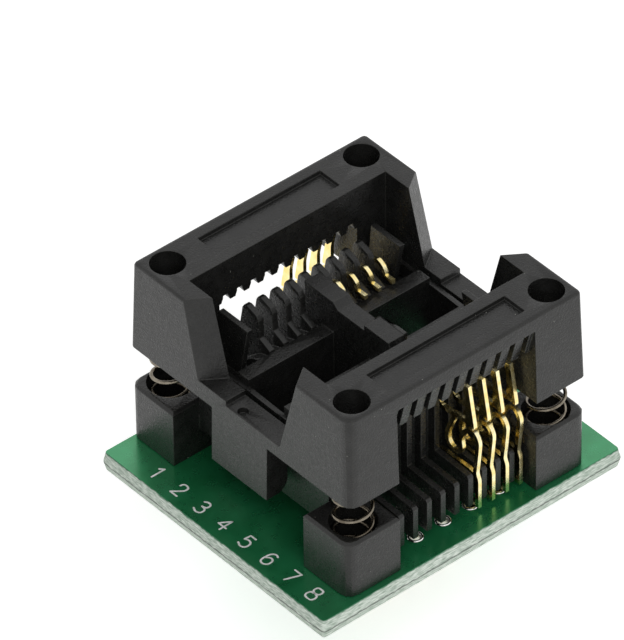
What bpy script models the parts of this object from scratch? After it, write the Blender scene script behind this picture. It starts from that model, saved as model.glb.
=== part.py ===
"""Open-top test socket for a small-outline chip on a pin adapter board.

A spring-loaded cover slides down over a moulded base that holds stamped contacts in two combs.
The base stands on a plated circuit board, and two pin strips under the board plug into a wider socket.
Units are metres, +Z is up, and the origin is at the middle of the pin tips.
X runs along the contact rows, and the front row is on the -Y side.
"""

import math

import bmesh
import bpy
from mathutils import Matrix, Vector

MM = 0.001

# Contact rows
PITCH = 1.27 * MM
POSITIONS = 10
FIRST_FITTED = 6
CONTACT_THICKNESS = 0.3 * MM
CONTACT_WIDTH = 0.35 * MM
STAGGER = 2.54 * MM

# Fits
SEAT_GAP = 0.05 * MM
SLIDE_GAP = 0.3 * MM
SLOT_CLEARANCE = 0.25 * MM
COVER_SLOT_CLEARANCE = 0.085 * MM

# Pin strips under the board
HEADER_PITCH = 2.54 * MM
HEADER_PINS = 4
HEADER_ROW_SPACING = 7.62 * MM
HEADER_HEIGHT = 2.5 * MM
HEADER_WIDTH = 2.5 * MM
HEADER_CORNER = 0.45 * MM
HEADER_PIN_SIDE = 0.64 * MM
HEADER_PIN_BELOW = 6.0 * MM
HEADER_PIN_ABOVE = 1.3 * MM
HEADER_PIN_POINT = 0.7 * MM

# Board
BOARD_THICKNESS = 1.6 * MM
BOARD_MARGIN_X = 2.63 * MM
BOARD_MARGIN_Y = 0.09 * MM
BOARD_SCORE = 0.24 * MM
BOARD_SCORE_DEPTH = 0.85 * MM
HEADER_HOLE_RADIUS = 0.52 * MM
CONTACT_HOLE_RADIUS = 0.42 * MM
SOCKET_SHIFT_Y = 0.345 * MM

# Contact pins from the strips outwards
STRIP_TO_PINS = 2.1 * MM
PIN_TO_TAIL = 0.95 * MM
TAIL_INSET = 1.05 * MM

# Cover
PRESS_TRAVEL = 3.0 * MM
STOP_CLEARANCE = 0.15 * MM
WINDOW_MARGIN = 0.585 * MM
POST_LENGTH = 4.51 * MM
COVER_HEIGHT = 7.68 * MM
COVER_DRAFT_X = 0.18 * MM
COVER_DRAFT_Y = 0.26 * MM
BAR_WIDTH = 4.4 * MM
BAR_DEPTH = 3.7 * MM
BAND_HEIGHT = 1.25 * MM
BAND_STEP = 0.1 * MM
BAR_UNDERCUT = 0.72 * MM
RAIL_WIDTH = 1.85 * MM
RAIL_HEIGHT = 1.08 * MM
PAD_HEIGHT = 0.42 * MM
PAD_END_Y = 1.43 * MM
WING_TOP_Y = 6.11 * MM
WING_FOOT_Y = 4.43 * MM
WING_SLANT = 0.7
TONGUE_HALF_WIDTH = 2.95 * MM
TONGUE_LENGTH = 4.67 * MM
CATCH_DEPTH = 0.6 * MM
CATCH_HEIGHT = 0.9 * MM
CATCH_HALF_WIDTH = 1.2 * MM
TONGUE_ROUND = 1.1 * MM
TOP_HOLE_RADIUS = 1.3 * MM
LABEL_DEPTH = 0.35 * MM
LABEL_WIDTH = 2.1 * MM
INDEX_CORNER = 0.9 * MM
CORNER = 0.3 * MM
EDGE = 0.2 * MM

# Springs
SPRING_INSET = 1.95 * MM
SPRING_OUTER_RADIUS = 1.5 * MM
SPRING_WIRE = 0.28 * MM
SPRING_TURNS = 8.5
SPRING_BORE_CLEARANCE = 0.25 * MM
SPRING_SEAT_DEPTH = 3.4 * MM
SPRING_BORE_DEPTH = 4.2 * MM

# Base
FOOT_HEIGHT = 4.87 * MM
FOOT_OVERHANG = 0.22 * MM
FOOT_LENGTH_Y = 4.73 * MM
BASE_LIFT = 2.2 * MM
BASE_FLOOR = 1.2 * MM
END_WALL = 0.4 * MM
END_WALL_TOP = 9.15 * MM
SEAT_END_INSET = 0.35 * MM
SEAT_HEIGHT = 9.8 * MM
SEAT_INNER_Y = 1.85 * MM
SEAT_OUTER_Y = 3.05 * MM
RIB_INNER_Y = 4.25 * MM
SLOT_END_MARGIN = 0.91 * MM
RIB_TOP = 12.5 * MM
RIB_FOOT_HEIGHT = 3.55 * MM
RIB_BOTTOM = 0.75 * MM
GUIDE_MARGIN = 1.035 * MM
GUIDE_THICKNESS = 0.45 * MM
GUIDE_TOP = 12.6 * MM
GUIDE_LEAN = 1.0 * MM
DIVIDER_THICKNESS = 1.45 * MM
DIVIDER_SADDLE = 0.45 * MM

# Heights from the board's top face
STRIP_TOP = HEADER_PIN_BELOW + HEADER_HEIGHT
BOARD_TOP = STRIP_TOP + SEAT_GAP + BOARD_THICKNESS
COVER_BOTTOM = FOOT_HEIGHT + PRESS_TRAVEL + STOP_CLEARANCE
COVER_TOP = COVER_BOTTOM + COVER_HEIGHT
BAR_BOTTOM = COVER_TOP - BAR_DEPTH
BAND_BOTTOM = COVER_TOP - BAND_HEIGHT
RAIL_TOP = COVER_BOTTOM + RAIL_HEIGHT
PAD_TOP = RAIL_TOP + PAD_HEIGHT
TONGUE_BOTTOM = COVER_BOTTOM - TONGUE_LENGTH
SLOT_CEILING = BAND_BOTTOM - 0.15 * MM
SHOULDER = BAR_BOTTOM - PRESS_TRAVEL - 2 * SLIDE_GAP + 0.2 * MM
ARM_HEIGHT = SHOULDER - 0.95 * MM
SHOULDER_BEND = 0.55 * MM

# Plan sizes from the rows outwards
ROW_HALF = (POSITIONS - 1) * PITCH / 2
SLOT_WIDTH = CONTACT_THICKNESS + 2 * SLOT_CLEARANCE
COVER_SLOT_WIDTH = CONTACT_THICKNESS + 2 * COVER_SLOT_CLEARANCE
WINDOW_HALF = ROW_HALF + WINDOW_MARGIN
GUIDE_X = ROW_HALF + GUIDE_MARGIN
COVER_HALF_LENGTH = WINDOW_HALF + POST_LENGTH
OPENING_X = COVER_HALF_LENGTH - RAIL_WIDTH
BASE_HALF_LENGTH = OPENING_X - SLIDE_GAP
PIN_INNER_Y = (HEADER_ROW_SPACING + HEADER_WIDTH) / 2 + STRIP_TO_PINS
PIN_OUTER_Y = PIN_INNER_Y + STAGGER
TAIL_Y = PIN_OUTER_Y + PIN_TO_TAIL
COVER_HALF_WIDTH = TAIL_Y + TAIL_INSET
OPENING_Y = COVER_HALF_WIDTH - BAR_WIDTH
RIB_FOOT_Y = TAIL_Y - 0.15 * MM
RIB_OUTER_Y = TAIL_Y - 2.05 * MM
SLOT_INNER_Y = PIN_INNER_Y - SLOT_END_MARGIN
FOOT_OUTER_X = COVER_HALF_LENGTH + FOOT_OVERHANG
FOOT_INNER_X = WINDOW_HALF - 0.06 * MM
FOOT_OUTER_Y = COVER_HALF_WIDTH
FOOT_INNER_Y = FOOT_OUTER_Y - FOOT_LENGTH_Y
SPRING_X = COVER_HALF_LENGTH - SPRING_INSET
SPRING_Y = COVER_HALF_WIDTH - SPRING_INSET
BOARD_HALF_LENGTH = FOOT_OUTER_X + BOARD_MARGIN_X
BOARD_HALF_WIDTH = FOOT_OUTER_Y + BOARD_MARGIN_Y


def clear_scene():
    for item in list(bpy.data.objects):
        bpy.data.objects.remove(item, do_unlink=True)


def make_material(name, colour, roughness, metallic=0.0):
    material = bpy.data.materials.new(name)
    material.use_nodes = True
    shader = material.node_tree.nodes["Principled BSDF"]
    shader.inputs["Base Color"].default_value = (*colour, 1.0)
    shader.inputs["Roughness"].default_value = roughness
    shader.inputs["Metallic"].default_value = metallic
    return material


def add_object(name, mesh, material=None):
    item = bpy.data.objects.new(name, mesh)
    bpy.context.scene.collection.objects.link(item)
    if material is not None and not mesh.materials:
        mesh.materials.append(material)
    return item


def mesh_from(bm, name):
    bmesh.ops.recalc_face_normals(bm, faces=bm.faces)
    mesh = bpy.data.meshes.new(name)
    bm.to_mesh(mesh)
    bm.free()
    return mesh


def add_box(bm, low, high):
    """Add a box between two corners."""
    size = Vector(high) - Vector(low)
    middle = (Vector(high) + Vector(low)) / 2
    matrix = Matrix.Translation(middle) @ Matrix.Diagonal((*size, 1.0))
    return bmesh.ops.create_cube(bm, size=1.0, matrix=matrix)["verts"]


def add_prism(bm, outline, start, end, place):
    """Add a prism: the outline's points at two stations, put in space by place(station, u, v)."""
    near = [bm.verts.new(place(start, u, v)) for u, v in outline]
    far = [bm.verts.new(place(end, u, v)) for u, v in outline]
    bm.faces.new(near)
    bm.faces.new(list(reversed(far)))
    count = len(outline)
    for i in range(count):
        j = (i + 1) % count
        bm.faces.new((near[i], far[i], far[j], near[j]))


def along_x(side):
    """Return a placing rule for outlines in Y and Z, on the +Y side or its mirror image."""
    return lambda x, y, z: Vector((x, side * y, z))


def close_rings(bm, rings):
    """Skin a stack of rings of the same count and cap both ends."""
    bm.faces.new(rings[0])
    bm.faces.new(list(reversed(rings[-1])))
    count = len(rings[0])
    for lower, upper in zip(rings, rings[1:]):
        for i in range(count):
            j = (i + 1) % count
            bm.faces.new((lower[i], upper[i], upper[j], lower[j]))


def add_hull(bm, low_ring, high_ring):
    """Add a closed body between two rings of points."""
    close_rings(bm, [[bm.verts.new(p) for p in ring] for ring in (low_ring, high_ring)])


def add_cylinder(bm, x, y, radius, low, high, sides):
    matrix = Matrix.Translation((x, y, (low + high) / 2))
    bmesh.ops.create_cone(bm, cap_ends=True, segments=sides, radius1=radius, radius2=radius,
                          depth=high - low, matrix=matrix)


def combine(body, bm, operation):
    """Cut, or join, the body with the shapes in bm, and keep the result as its mesh."""
    tool = add_object("tool", mesh_from(bm, "tool"))
    modifier = body.modifiers.new("step", "BOOLEAN")
    modifier.operation = operation
    modifier.solver = "EXACT"
    modifier.object = tool
    graph = bpy.context.evaluated_depsgraph_get()
    result = bpy.data.meshes.new_from_object(body.evaluated_get(graph))
    old = body.data
    body.modifiers.remove(modifier)
    body.data = result
    bpy.data.meshes.remove(old)
    bpy.data.objects.remove(tool, do_unlink=True)


def signs():
    return [(sx, sy) for sx in (-1, 1) for sy in (-1, 1)]


def row_positions():
    return [(i - (POSITIONS - 1) / 2) * PITCH for i in range(POSITIONS)]


def fitted_positions():
    return row_positions()[FIRST_FITTED:]


def shade(item, angle=35.0):
    item.data.shade_smooth()
    item.data.set_sharp_from_angle(angle=math.radians(angle))


# Circuit board


def header_places():
    places = []
    for side in (-1, 1):
        for i in range(HEADER_PINS):
            x = (i - (HEADER_PINS - 1) / 2) * HEADER_PITCH
            places.append((x, side * HEADER_ROW_SPACING / 2))
    return places


def pin_y(index):
    """Every second contact has its pin in the inner line of holes."""
    return PIN_OUTER_Y if index % 2 == 0 else PIN_INNER_Y


def contact_holes():
    holes = []
    for side in (-1, 1):
        for index, x in enumerate(row_positions()):
            holes.append((-side * x, side * pin_y(index) + SOCKET_SHIFT_Y))
    return holes


def build_board(material):
    """A board snapped from a panel: its scored edges rise to a ridge near mid thickness."""
    bottom = BOARD_TOP - BOARD_THICKNESS
    levels = ((bottom, 0.0), (BOARD_TOP - BOARD_SCORE_DEPTH, BOARD_SCORE), (BOARD_TOP, 0.0))
    bm = bmesh.new()
    rings = []
    for z, out in levels:
        x, y = BOARD_HALF_LENGTH + out, BOARD_HALF_WIDTH + out
        rings.append([bm.verts.new(corner) for corner in ((-x, -y, z), (x, -y, z), (x, y, z), (-x, y, z))])
    close_rings(bm, rings)
    board = add_object("circuit_board", mesh_from(bm, "circuit_board"), material)
    drills = bmesh.new()
    for places, radius in ((contact_holes(), CONTACT_HOLE_RADIUS), (header_places(), HEADER_HOLE_RADIUS)):
        for x, y in places:
            add_cylinder(drills, x, y, radius, bottom - 1 * MM, BOARD_TOP + 1 * MM, 16)
    combine(board, drills, "DIFFERENCE")
    return board


# Pin strips and pins


def build_header_strip(name, side, material):
    """A moulded strip with a corner nick between neighbouring pins."""
    outline = []
    half = HEADER_WIDTH / 2
    for direction in (1, -1):
        for i in range(HEADER_PINS):
            place = direction * ((HEADER_PINS - 1) / 2 - i) * HEADER_PITCH
            for reach, width in ((0.5, half - HEADER_CORNER), (0.5 - HEADER_CORNER / HEADER_PITCH, half),
                                 (HEADER_CORNER / HEADER_PITCH - 0.5, half)):
                outline.append((place + direction * reach * HEADER_PITCH, direction * width))
        outline.append((place - direction * 0.5 * HEADER_PITCH, direction * (half - HEADER_CORNER)))
    merged = [point for i, point in enumerate(outline)
              if math.dist(point, outline[i - 1]) > SEAT_GAP / 10]
    bm = bmesh.new()
    add_prism(bm, merged, 0.0, HEADER_HEIGHT, lambda z, x, y: Vector((x, y, z)))
    strip = add_object(name, mesh_from(bm, name), material)
    holes = bmesh.new()
    reach = HEADER_PIN_SIDE / 2 + SEAT_GAP
    for i in range(HEADER_PINS):
        x = (i - (HEADER_PINS - 1) / 2) * HEADER_PITCH
        add_box(holes, (x - reach, -reach, -1 * MM), (x + reach, reach, HEADER_HEIGHT + 1 * MM))
    combine(strip, holes, "DIFFERENCE")
    strip.location = (0.0, side * HEADER_ROW_SPACING / 2, HEADER_PIN_BELOW)
    return strip


def build_header_pins(material):
    half = HEADER_PIN_SIDE / 2
    tip = half * 0.45
    top = BOARD_TOP + HEADER_PIN_ABOVE
    bm = bmesh.new()
    square = ((-1, -1), (1, -1), (1, 1), (-1, 1))
    levels = ((0.0, tip), (HEADER_PIN_POINT, half), (top - HEADER_PIN_POINT / 2, half), (top, tip))
    rings = [[bm.verts.new((x * w, y * w, z)) for x, y in square] for z, w in levels]
    close_rings(bm, rings)
    mesh = mesh_from(bm, "header_pin")
    for number, (x, y) in enumerate(header_places(), start=1):
        pin = add_object(f"header_pin_{number}", mesh, material)
        pin.location = (x, y, 0.0)


# Stamped contacts


def strip_outline(line, width):
    """Return the outline of a strip of even width along a line of points."""
    left, right = [], []
    last = len(line) - 1
    for i, point in enumerate(line):
        before = Vector(point) - Vector(line[i - 1]) if i > 0 else Vector(line[1]) - Vector(point)
        after = Vector(line[i + 1]) - Vector(point) if i < last else before
        before.normalize()
        after.normalize()
        normal = Vector((-before.y - after.y, before.x + after.x)).normalized()
        reach = width / 2 / max(0.5, normal.dot(Vector((-before.y, before.x))))
        left.append(tuple(Vector(point) + normal * reach))
        right.append(tuple(Vector(point) - normal * reach))
    return left + list(reversed(right))


def stamped_line(points):
    """Turn (distance inside the tail, height over the arm) pairs in mm into Y and Z."""
    return [(TAIL_Y - inside * MM, ARM_HEIGHT + over * MM) for inside, over in points]


def spring_line(y_pin):
    """Pin, tail, hook and U-shaped spring, up to the underside of the contact's head."""
    line = [(y_pin, -BOARD_THICKNESS - 1.0 * MM), (y_pin, SHOULDER_BEND), (TAIL_Y - 0.1 * MM, SHOULDER_BEND)]
    line += stamped_line([(0.1, -4.78), (0.34, -4.3), (0.2, -3.2), (0.05, -1.8), (0.02, -1.35)])
    line += stamped_line([(0.2, -0.95), (0.45, -0.74), (0.78, -0.7), (1.13, -0.85), (1.45, -1.2)])
    line += stamped_line([(1.7, -1.65), (1.85, -2.1), (1.78, -2.5), (1.72, -2.85), (1.87, -3.25)])
    line += stamped_line([(2.22, -3.5), (2.62, -3.52), (3.03, -3.3), (3.26, -2.9), (3.25, -2.3)])
    line += stamped_line([(3.05, -1.7), (2.8, -1.15), (2.56, -0.65), (2.42, -0.18)])
    return line


def anchor_line():
    """Straight arm that runs from the tail's jog into the base."""
    return stamped_line([(0.25, -4.5), (1.0, -4.38), (4.0, -4.4)])


def lever_outline():
    """Upright blade that rises into a cover slot, wide at the arm and cut at a slant on top."""
    return stamped_line([(0.4, -0.26), (0.4, 0.0), (1.0, 3.13), (1.6, 2.95), (1.32, 1.8), (1.3, -0.2)])


def head_line():
    """Arm from the lever inwards, and the hooked tip that presses on the chip's lead."""
    tip_y = SEAT_OUTER_Y + 0.55 * MM
    tip_z = SEAT_HEIGHT + 0.5 * MM
    line = stamped_line([(0.6, -0.04), (1.79, -0.12), (3.6, -0.38), (3.95, -0.25), (4.25, 0.1)])
    line += [(tip_y + 2.05 * MM, tip_z - 1.05 * MM), (tip_y + 1.6 * MM, tip_z + 0.3 * MM)]
    line += [(tip_y + 1.27 * MM, tip_z + 0.75 * MM), (tip_y + 0.8 * MM, tip_z + 0.97 * MM)]
    line += [(tip_y + 0.45 * MM, tip_z + 0.86 * MM), (tip_y + 0.18 * MM, tip_z + 0.65 * MM)]
    line += [(tip_y + 0.03 * MM, tip_z + 0.3 * MM), (tip_y, tip_z), (tip_y - 0.87 * MM, tip_z)]
    return line


def contact_mesh(name, y_pin, material):
    half = CONTACT_THICKNESS / 2
    bm = bmesh.new()
    add_prism(bm, strip_outline(spring_line(y_pin), CONTACT_WIDTH), -half, half, along_x(-1))
    contact = add_object(name, mesh_from(bm, name), material)
    arms = [strip_outline(line, CONTACT_WIDTH) for line in (head_line(), anchor_line())]
    for outline in (*arms, lever_outline()):
        branch = bmesh.new()
        add_prism(branch, outline, -half, half, along_x(-1))
        combine(contact, branch, "UNION")
    mesh = contact.data
    bpy.data.objects.remove(contact, do_unlink=True)
    return mesh


def build_contacts(material):
    """Both rows share two stampings: one for the outer line of holes and one for the inner."""
    outer = contact_mesh("contact_outer_pin", PIN_OUTER_Y, material)
    inner = contact_mesh("contact_inner_pin", PIN_INNER_Y, material)
    for row, turn in (("front", 0.0), ("back", math.pi)):
        for number, x in enumerate(fitted_positions(), start=1):
            index = FIRST_FITTED + number - 1
            if row == "back":
                index = POSITIONS - 1 - index
            mesh = outer if index % 2 == 0 else inner
            contact = add_object(f"contact_{row}_{number}", mesh, material)
            contact.location = (x, SOCKET_SHIFT_Y, BOARD_TOP)
            contact.rotation_euler = (0.0, 0.0, turn)


# Springs


def build_springs(material):
    """A wire coil with one closed turn at each end, as long as the gap between its two seats."""
    low = FOOT_HEIGHT - SPRING_SEAT_DEPTH + SEAT_GAP
    high = COVER_BOTTOM + SPRING_BORE_DEPTH - SEAT_GAP
    radius = SPRING_OUTER_RADIUS - SPRING_WIRE / 2
    closed = 1.0
    dead = closed * SPRING_WIRE * 1.12
    rise = high - low - SPRING_WIRE - 2 * dead
    steps = round(SPRING_TURNS * 12)
    sides = 6
    bm = bmesh.new()
    rings = []
    for i in range(steps + 1):
        turn = SPRING_TURNS * i / steps
        active = min(max(turn - closed, 0.0), SPRING_TURNS - 2 * closed)
        start = min(turn, closed) / closed * dead
        finish = max(turn - SPRING_TURNS + closed, 0.0) / closed * dead
        z = SPRING_WIRE / 2 + start + finish + rise * active / (SPRING_TURNS - 2 * closed)
        angle = 2 * math.pi * turn
        out = Vector((math.cos(angle), math.sin(angle), 0.0))
        ring = []
        for k in range(sides):
            phase = 2 * math.pi * k / sides
            offset = out * (math.cos(phase) * SPRING_WIRE / 2)
            height = math.sin(phase) * SPRING_WIRE / 2
            ring.append(bm.verts.new(out * radius + offset + Vector((0.0, 0.0, z + height))))
        rings.append(ring)
    close_rings(bm, rings)
    mesh = mesh_from(bm, "spring")
    mesh.shade_smooth()
    for sx, sy in signs():
        name = f"spring_{'front' if sy < 0 else 'back'}_{'left' if sx < 0 else 'right'}"
        spring = add_object(name, mesh, material)
        spring.location = (sx * SPRING_X, sy * SPRING_Y + SOCKET_SHIFT_Y, BOARD_TOP + low)


# Socket base


def core_outline():
    """Section of a row's solid core: ledge for the leads, outer face, and the web to the feet."""
    web_y = FOOT_INNER_Y + 1.0 * MM
    web_z = RIB_FOOT_HEIGHT - 0.05 * MM
    core_top = SHOULDER - 0.4 * MM
    outer = OPENING_Y - SLIDE_GAP - 0.05 * MM
    points = [(SEAT_INNER_Y, BASE_LIFT), (SEAT_INNER_Y, SEAT_HEIGHT), (SEAT_OUTER_Y, SEAT_HEIGHT)]
    points += [(SEAT_OUTER_Y + 0.25 * MM, core_top), (outer, core_top), (outer, web_z)]
    points += [(web_y, web_z), (web_y, BASE_LIFT)]
    return points


def add_seat_ends(bm):
    """Cutters that stop both lead seats short of the end walls."""
    inset = BASE_HALF_LENGTH - SEAT_END_INSET
    for side in (-1, 1):
        start, end = sorted((side * inset, side * (BASE_HALF_LENGTH + 1 * MM)))
        add_box(bm, (start, -OPENING_Y, END_WALL_TOP), (end, OPENING_Y, SEAT_HEIGHT + 1 * MM))


def rib_outline():
    """Section of a comb rib, from the lead ledge over the rounded top and down to the board."""
    crown = RIB_INNER_Y + 1.3 * MM
    face = OPENING_Y - SLIDE_GAP - 0.06 * MM
    points = [(SEAT_INNER_Y + 0.4 * MM, BASE_LIFT + 0.3 * MM)]
    points += [(SEAT_INNER_Y + 0.4 * MM, SEAT_HEIGHT - 0.3 * MM), (SEAT_OUTER_Y, SEAT_HEIGHT - 0.3 * MM)]
    points += [(SEAT_OUTER_Y + 0.1 * MM, SEAT_HEIGHT + 0.05 * MM), (RIB_INNER_Y, SEAT_HEIGHT + 0.5 * MM)]
    points += [(RIB_INNER_Y + 0.05 * MM, RIB_TOP - 0.7 * MM), (RIB_INNER_Y + 0.3 * MM, RIB_TOP - 0.3 * MM)]
    points += [(crown, RIB_TOP), (crown + 0.3 * MM, RIB_TOP - 0.08 * MM), (crown + 0.5 * MM, RIB_TOP - 0.4 * MM)]
    points += [(crown + 0.95 * MM, SHOULDER + 1.0 * MM), (face - 0.14 * MM, SHOULDER)]
    points += [(face, SHOULDER - 0.5 * MM), (face, RIB_FOOT_HEIGHT + 0.15 * MM)]
    points += [(RIB_FOOT_Y - 0.15 * MM, RIB_FOOT_HEIGHT), (RIB_FOOT_Y, RIB_FOOT_HEIGHT - 0.2 * MM)]
    points += [(RIB_FOOT_Y, RIB_BOTTOM), (RIB_OUTER_Y, RIB_BOTTOM), (RIB_OUTER_Y, BASE_LIFT + 0.3 * MM)]
    return points


def slot_outline():
    """Section of the space round one contact."""
    far = RIB_FOOT_Y + 2 * MM
    over = RIB_TOP + 2 * MM
    points = [(far, -1 * MM), (far, over), (SEAT_OUTER_Y, over), (SEAT_OUTER_Y, SEAT_HEIGHT - 0.35 * MM)]
    points += [(RIB_INNER_Y, SEAT_HEIGHT - 0.8 * MM), (SLOT_INNER_Y, ARM_HEIGHT - 0.45 * MM)]
    points += [(SLOT_INNER_Y, -1 * MM)]
    return points


def add_base_feet(bm):
    """Corner blocks that stand on the board, with a round outer corner and an eased top."""
    for sx, sy in signs():
        low = Vector((FOOT_INNER_X, FOOT_INNER_Y, SEAT_GAP))
        high = Vector((FOOT_OUTER_X, FOOT_OUTER_Y, FOOT_HEIGHT))
        foot = bmesh.new()
        add_box(foot, low, high)
        outer = [e for e in foot.edges if all(v.co.x > high.x - EDGE and v.co.y > high.y - EDGE
                                              for v in e.verts)]
        bmesh.ops.bevel(foot, geom=outer, offset=INDEX_CORNER, segments=3, profile=0.5,
                        affect="EDGES", clamp_overlap=True)
        rim = [e for e in foot.edges if all(v.co.z > high.z - EDGE for v in e.verts)]
        bmesh.ops.bevel(foot, geom=rim, offset=EDGE, segments=1, profile=0.5,
                        affect="EDGES", clamp_overlap=True)
        for vert in foot.verts:
            vert.co.x *= sx
            vert.co.y *= sy
        merge_into(bm, foot)


def merge_into(bm, other):
    """Copy another mesh's faces into bm."""
    mesh = mesh_from(other, "piece")
    bm.from_mesh(mesh)
    bpy.data.meshes.remove(mesh)


def add_guides(bm):
    """Thin walls that close each comb's ends and lead a chip in."""
    near = SEAT_OUTER_Y + 0.2 * MM
    root = SHOULDER - 1.0 * MM
    outline = [(near, GUIDE_TOP), (OPENING_Y - 0.95 * MM, GUIDE_TOP)]
    outline += [(OPENING_Y - SLIDE_GAP - 0.15 * MM, root), (near + GUIDE_LEAN, root)]
    for sx, sy in signs():
        start, end = sorted((sx * GUIDE_X, sx * (GUIDE_X + GUIDE_THICKNESS)))
        add_prism(bm, outline, start, end, along_x(sy))


def add_divider(bm):
    """Wall across the base that ends the chip's nest, with a saddle between its two ends."""
    middle = row_positions()[FIRST_FITTED] - 1.77 * MM
    half = DIVIDER_THICKNESS / 2
    top = GUIDE_TOP - 0.1 * MM
    saddle = top - DIVIDER_SADDLE
    root = BASE_LIFT + 0.4 * MM
    step = SEAT_INNER_Y - 0.45 * MM
    outline = [(RIB_INNER_Y + 0.7 * MM, root), (RIB_INNER_Y + 0.7 * MM, top), (SEAT_INNER_Y, top)]
    outline += [(SEAT_INNER_Y - 0.5 * MM, saddle), (-step, saddle), (-step, top)]
    outline += [(-RIB_INNER_Y + 0.25 * MM, top), (-RIB_INNER_Y - 0.7 * MM, SHOULDER), (-RIB_INNER_Y - 0.7 * MM, root)]
    add_prism(bm, outline, middle - half, middle + half, along_x(1))


def add_divider_gusset(bm):
    """Wider side of the wall's front end, towards the chip."""
    middle = row_positions()[FIRST_FITTED] - 1.77 * MM
    face = middle + DIVIDER_THICKNESS / 2
    front = -RIB_INNER_Y + 0.3 * MM
    back = 0.55 * MM - SEAT_INNER_Y
    wide = SEAT_OUTER_Y - 0.2 * MM
    outline = [(face - 0.4 * MM, front), (face + 0.32 * MM, front), (face + 0.3 * MM, -wide)]
    outline += [(face - 0.01 * MM, back), (face - 0.4 * MM, back)]
    low = BASE_LIFT + 0.5 * MM
    add_prism(bm, outline, low, GUIDE_TOP - 0.12 * MM, lambda z, x, y: Vector((x, y, z)))


def build_base(material):
    bm = bmesh.new()
    add_prism(bm, core_outline(), -BASE_HALF_LENGTH, BASE_HALF_LENGTH, along_x(1))
    base = add_object("socket_base", mesh_from(bm, "socket_base"), material)
    other = bmesh.new()
    add_prism(other, core_outline(), -BASE_HALF_LENGTH, BASE_HALF_LENGTH, along_x(-1))
    combine(base, other, "UNION")
    tie = bmesh.new()
    reach = SEAT_INNER_Y + 0.2 * MM
    floor_top = BASE_LIFT + BASE_FLOOR
    add_box(tie, (-BASE_HALF_LENGTH + 0.2 * MM, -reach, BASE_LIFT + 0.01 * MM),
            (BASE_HALF_LENGTH - 0.2 * MM, reach, floor_top))
    combine(base, tie, "UNION")
    walls = bmesh.new()
    wide = OPENING_Y - SLIDE_GAP - 0.06 * MM
    for side in (-1, 1):
        start, end = sorted((side * (BASE_HALF_LENGTH - END_WALL), side * (BASE_HALF_LENGTH - 0.01 * MM)))
        add_box(walls, (start, -wide, BASE_LIFT + 0.02 * MM), (end, wide, END_WALL_TOP))
    combine(base, walls, "UNION")
    ends = bmesh.new()
    add_seat_ends(ends)
    combine(base, ends, "DIFFERENCE")
    ribs = bmesh.new()
    rib_half = ROW_HALF + SLOT_WIDTH / 2 - 0.005 * MM
    for side in (-1, 1):
        add_prism(ribs, rib_outline(), -rib_half, rib_half, along_x(side))
    combine(base, ribs, "UNION")
    slots = bmesh.new()
    for side in (-1, 1):
        for x in row_positions():
            add_prism(slots, slot_outline(), x - SLOT_WIDTH / 2, x + SLOT_WIDTH / 2, along_x(side))
    combine(base, slots, "DIFFERENCE")
    for add_shape in (add_base_feet, add_guides, add_divider, add_divider_gusset):
        extra = bmesh.new()
        add_shape(extra)
        combine(base, extra, "UNION")
    cuts = bmesh.new()
    for sx, sy in signs():
        add_cylinder(cuts, sx * SPRING_X, sy * SPRING_Y, SPRING_OUTER_RADIUS + SPRING_BORE_CLEARANCE,
                     FOOT_HEIGHT - SPRING_SEAT_DEPTH, FOOT_HEIGHT + 1 * MM, 24)
    for side in (-1, 1):
        start, end = sorted((side * (BASE_HALF_LENGTH - CATCH_DEPTH + 0.1 * MM), side * (BASE_HALF_LENGTH + 1 * MM)))
        wide = CATCH_HALF_WIDTH + SLIDE_GAP
        add_box(cuts, (start, -wide, BASE_LIFT - 1 * MM), (end, wide, catch_top() + SLIDE_GAP / 2))
    combine(base, cuts, "DIFFERENCE")
    base.location = (0.0, SOCKET_SHIFT_Y, BOARD_TOP)
    return base


# Press cover


def catch_top():
    return TONGUE_BOTTOM + TONGUE_ROUND + 0.1 * MM + CATCH_HEIGHT


def cover_block():
    """The drafted outer block, with one large index corner and small radii elsewhere."""
    drop_x = COVER_DRAFT_X / COVER_HEIGHT
    drop_y = COVER_DRAFT_Y / COVER_HEIGHT
    levels = []
    for z in (TONGUE_BOTTOM, COVER_TOP):
        half_x = COVER_HALF_LENGTH - drop_x * (z - COVER_BOTTOM)
        half_y = COVER_HALF_WIDTH - drop_y * (z - COVER_BOTTOM)
        levels.append([Vector((sx * half_x, sy * half_y, z)) for sx, sy in ((-1, -1), (1, -1), (1, 1), (-1, 1))])
    bm = bmesh.new()
    add_hull(bm, *levels)
    upright = [e for e in bm.edges if abs(e.verts[0].co.z - e.verts[1].co.z) > COVER_HEIGHT / 2]
    index_edge = [e for e in upright if all(v.co.x < 0 and v.co.y < 0 for v in e.verts)]
    others = [e for e in upright if e not in index_edge]
    bmesh.ops.bevel(bm, geom=index_edge, offset=INDEX_CORNER, segments=3, profile=0.5,
                    affect="EDGES", clamp_overlap=True)
    others = [e for e in others if e.is_valid]
    bmesh.ops.bevel(bm, geom=others, offset=CORNER, segments=2, profile=0.5,
                    affect="EDGES", clamp_overlap=True)
    rim = [e for e in bm.edges if all(v.co.z > COVER_TOP - EDGE for v in e.verts)]
    bmesh.ops.bevel(bm, geom=rim, offset=EDGE, segments=2, profile=0.5, affect="EDGES", clamp_overlap=True)
    return bm


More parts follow.
